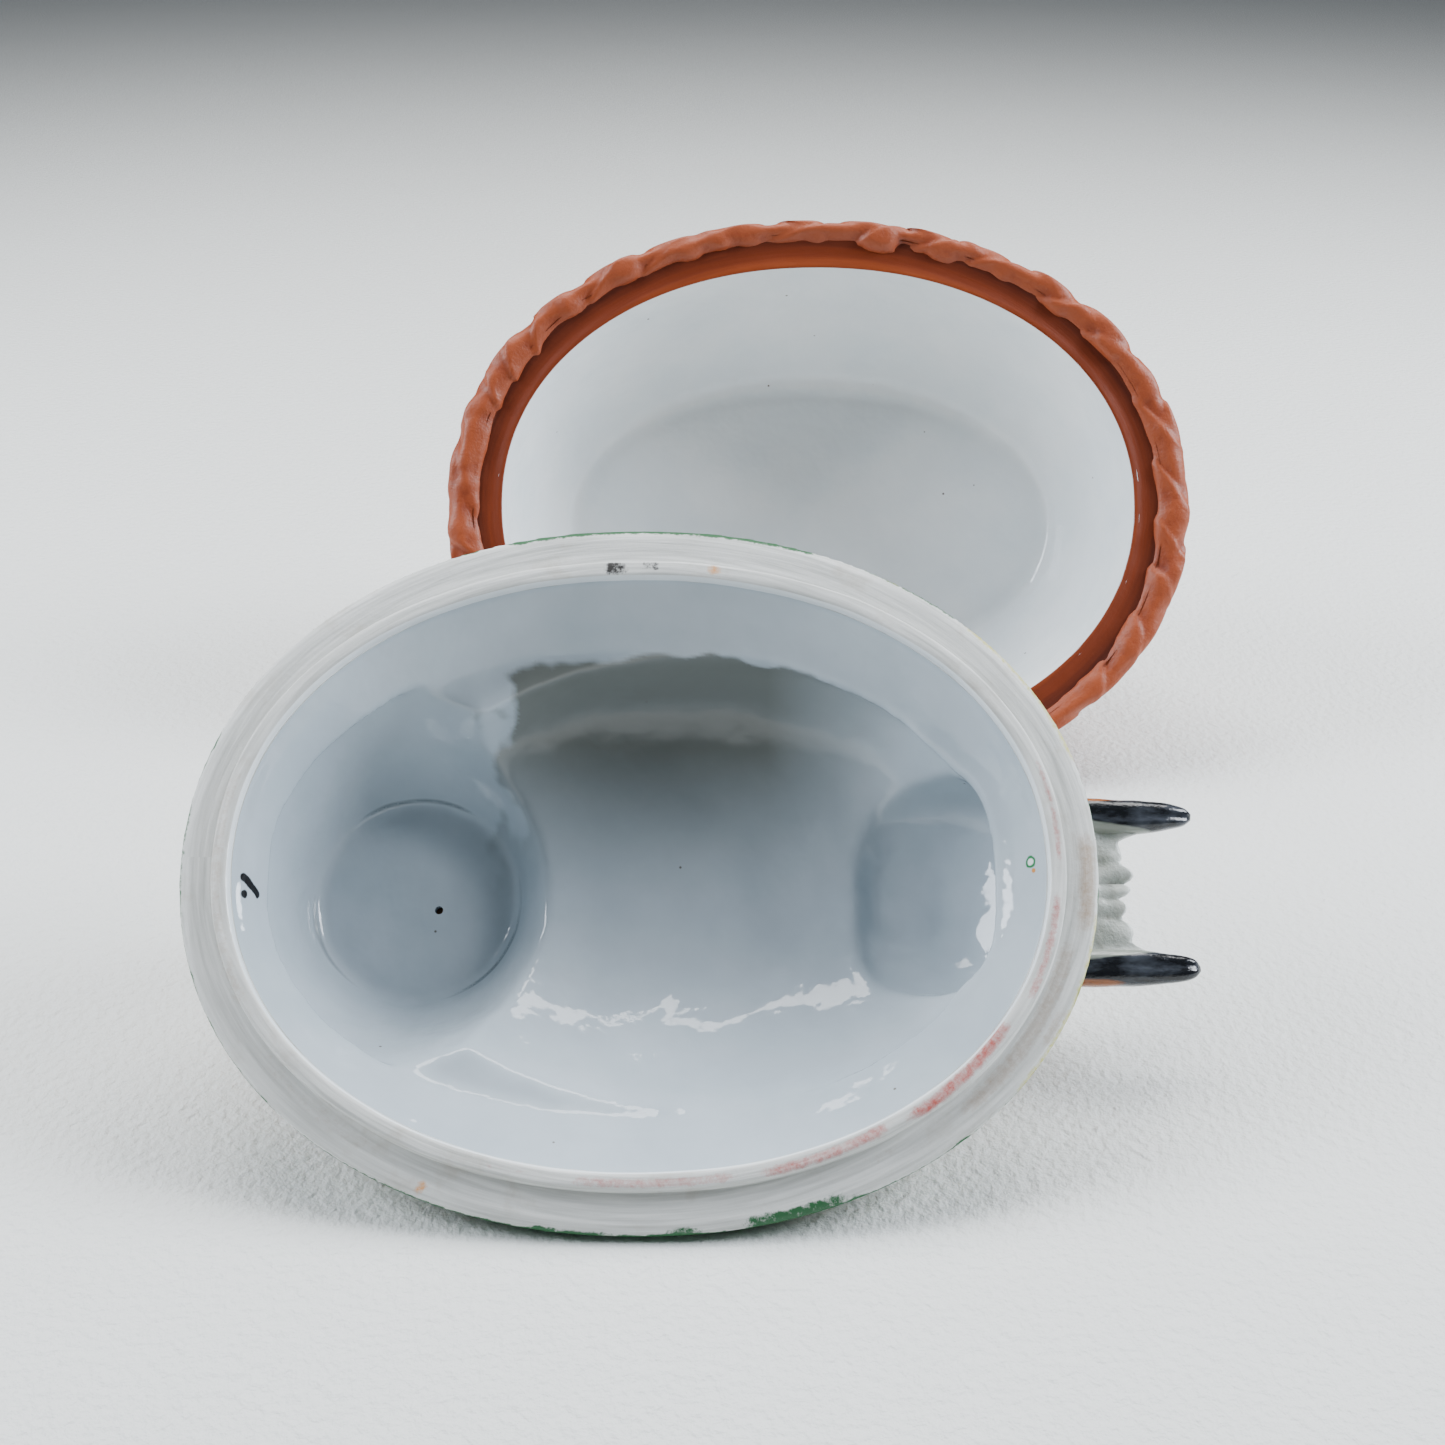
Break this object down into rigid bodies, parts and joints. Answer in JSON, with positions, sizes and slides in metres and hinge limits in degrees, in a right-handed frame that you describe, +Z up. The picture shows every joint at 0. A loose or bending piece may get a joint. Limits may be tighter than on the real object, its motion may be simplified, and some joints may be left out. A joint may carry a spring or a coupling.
{
  "type": "covered tureen",
  "caption": "Oval glazed ceramic tureen lying open: a nest bowl on its side with a woven rim, and a bird-shaped lid lying on its back.",
  "frame": {"origin": "centre of the bounding box at the table, with both halves lying on the plane z = 0", "axes": "+Z up; +X along the long axes of both ovals, towards the bird's tail; +Y from the lid to the bowl behind it, and both hollows face -Y and up"},
  "size_m": [0.358, 0.422, 0.21],
  "materials": {
    "white_glaze": "gloss",
    "ledge_paint": "satin",
    "terracotta_paint": "satin",
    "weave_paint": "satin",
    "biscuit": "matte",
    "leaf_glaze": "gloss",
    "plumage_glaze": "gloss",
    "beak_glaze": "gloss",
    "eye_glaze": "gloss",
    "wing_glaze": "gloss",
    "black_glaze": "gloss",
    "tail_glaze": "satin"
  },
  "bodies": {
    "bowl": {"bowl_body": "white_glaze", "rim_ledge": "ledge_paint", "rim_frill": "terracotta_paint", "woven_jacket": "weave_paint", "foot_ring": "biscuit"},
    "lid": {"lid_shell": "white_glaze", "locating_flange": "biscuit", "leaf_border": "leaf_glaze", "bird_head": "plumage_glaze", "beak_upper": "beak_glaze", "beak_lower": "beak_glaze", "eye_left": "eye_glaze", "eye_right": "eye_glaze", "wing_left": "wing_glaze", "wing_right": "wing_glaze", "wing_tip_left": "black_glaze", "wing_tip_right": "black_glaze", "tail": "tail_glaze"}
  },
  "joints": [
    {"name": "lid_lift", "type": "slide", "parent": "bowl", "child": "lid", "axis": [0, 0, 1], "range_m": [0, 0.22]}
  ]
}
